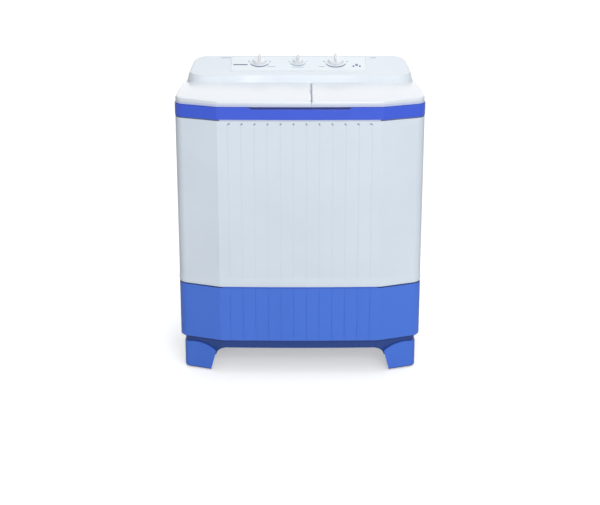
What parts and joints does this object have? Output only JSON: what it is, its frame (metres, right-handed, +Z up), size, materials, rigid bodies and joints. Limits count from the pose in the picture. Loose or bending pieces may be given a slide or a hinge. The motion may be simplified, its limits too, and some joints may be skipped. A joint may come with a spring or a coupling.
{
  "type": "twin tub washer",
  "caption": "Twin tub washing machine with a wash tub, a spin basket, lift-up lids, a rear console with turning knobs and a legged base.",
  "frame": {"origin": "on the floor, under the centre of the machine's bounding box", "axes": "+X to the right seen from the front, +Y towards the back, +Z up"},
  "size_m": [0.7406, 0.4327, 0.9268],
  "materials": {
    "blue_plastic": "satin moulded",
    "band_plastic": "gloss moulded",
    "cabinet_plastic": "semi-gloss moulded",
    "white_plastic": "semi-gloss moulded",
    "lid_plastic": "gloss moulded",
    "panel_plastic": "printed satin",
    "knob_plastic": "gloss moulded",
    "cover_sheet": "satin paint",
    "tub_plastic": "polished moulded",
    "basket_plastic": "satin moulded",
    "pulsator_plastic": "gloss moulded",
    "grey_plastic": "moulded",
    "cap_plastic": "moulded",
    "black_rubber": "moulded",
    "bright_steel": "ground",
    "zinc_steel": "zinc plated",
    "motor_steel": "dipped enamel",
    "cast_alloy": "as cast"
  },
  "bodies": {
    "root": {"base": "blue_plastic", "foot_pads": "black_rubber", "cabinet": "cabinet_plastic", "rear_cover": "cover_sheet", "rear_cover_screws": "zinc_steel", "carry_grips": "cabinet_plastic", "trim_band": "band_plastic", "top_frame": "white_plastic", "lid_hinge_rods": "bright_steel", "console": "white_plastic", "control_panel": "panel_plastic", "dial_rings": "panel_plastic", "wash_timer": "grey_plastic", "spin_timer": "grey_plastic", "selector_guide": "grey_plastic", "inlet_socket": "grey_plastic", "cord_gland": "black_rubber", "wash_tub": "tub_plastic", "drain_grille": "grey_plastic", "wash_bearing_housing": "cast_alloy", "wash_seal": "black_rubber", "drive_belt": "black_rubber", "wash_motor": "motor_steel", "wash_motor_bracket": "zinc_steel", "wash_motor_bolts": "zinc_steel", "spin_outer_tub": "tub_plastic", "spin_seal": "black_rubber", "spin_motor": "motor_steel", "spin_motor_plate": "zinc_steel", "spin_motor_mounts": "black_rubber", "brake_bracket": "zinc_steel", "drain_valve_body": "grey_plastic", "drain_pipes": "black_rubber", "overflow_pipe": "grey_plastic", "drain_outlet": "grey_plastic", "capacitors": "cap_plastic"},
    "wash_lid": {"wash_lid": "lid_plastic"},
    "spin_lid": {"spin_lid": "lid_plastic"},
    "wash_timer_dial": {"wash_timer_knob": "knob_plastic", "wash_timer_shaft": "bright_steel"},
    "drain_selector": {"selector_knob": "knob_plastic", "selector_shaft": "grey_plastic"},
    "spin_timer_dial": {"spin_timer_knob": "knob_plastic", "spin_timer_shaft": "bright_steel"},
    "agitator": {"pulsator": "pulsator_plastic", "pulsator_screw": "bright_steel", "wash_shaft": "bright_steel", "wash_pulley": "cast_alloy"},
    "wash_rotor": {"wash_motor_shaft": "bright_steel", "motor_pulley": "cast_alloy"},
    "spinner": {"spin_basket": "basket_plastic", "balance_ring": "pulsator_plastic", "spin_cap": "basket_plastic", "spin_shaft": "bright_steel", "brake_drum": "cast_alloy", "spin_motor_shaft": "bright_steel"},
    "spin_brake": {"brake_lever": "zinc_steel"},
    "drain_plug": {"drain_rod": "bright_steel", "drain_valve_plug": "black_rubber"},
    "lint_filter": {"lint_filter": "pulsator_plastic"}
  },
  "joints": [
    {"name": "wash_lid_hinge", "type": "hinge", "parent": "root", "child": "wash_lid", "pos_m": [0, 0.046, 0.8535], "axis": [-1, 0, 0], "range_deg": [0, 100]},
    {"name": "spin_lid_hinge", "type": "hinge", "parent": "root", "child": "spin_lid", "pos_m": [0, 0.046, 0.8535], "axis": [-1, 0, 0], "range_deg": [0, 100]},
    {"name": "wash_timer_turn", "type": "hinge", "parent": "root", "child": "wash_timer_dial", "pos_m": [-0.127, 0.1626, 0.90126], "axis": [0, 0.2756, -0.9613], "range_deg": [0, 330]},
    {"name": "drain_selector_turn", "type": "hinge", "parent": "root", "child": "drain_selector", "pos_m": [-0.0066, 0.1626, 0.90126], "axis": [0, 0.2756, -0.9613], "range_deg": [0, 90]},
    {"name": "spin_timer_turn", "type": "hinge", "parent": "root", "child": "spin_timer_dial", "pos_m": [0.112, 0.1626, 0.90126], "axis": [0, 0.2756, -0.9613], "range_deg": [0, 300]},
    {"name": "agitator_spin", "type": "hinge", "parent": "root", "child": "agitator", "pos_m": [-0.166, -0.041, 0.4], "axis": [0, 0, 1], "continuous": true},
    {"name": "wash_rotor_spin", "type": "hinge", "parent": "root", "child": "wash_rotor", "pos_m": [-0.06, 0.08, 0.3], "axis": [0, 0, 1], "continuous": true},
    {"name": "spinner_spin", "type": "hinge", "parent": "root", "child": "spinner", "pos_m": [0.197, -0.06, 0.4], "axis": [0, 0, 1], "continuous": true},
    {"name": "spin_brake_swing", "type": "hinge", "parent": "root", "child": "spin_brake", "pos_m": [0.263, -0.118, 0.29], "axis": [0, 0, 1], "range_deg": [0, 6]},
    {"name": "drain_plug_lift", "type": "slide", "parent": "root", "child": "drain_plug", "axis": [0, 0, 1], "range_m": [0, 0.01]},
    {"name": "lint_filter_lift", "type": "slide", "parent": "root", "child": "lint_filter", "axis": [0, 0, 1], "range_m": [0, 0.03]}
  ],
  "couplings": [
    {"joint": "wash_rotor_spin", "follows": "agitator_spin", "ratio": 4.7766},
    {"joint": "spin_brake_swing", "follows": "spin_lid_hinge", "ratio": 0.05},
    {"joint": "drain_selector_turn", "follows": "drain_plug_lift", "rad_per_m": 157}
  ]
}
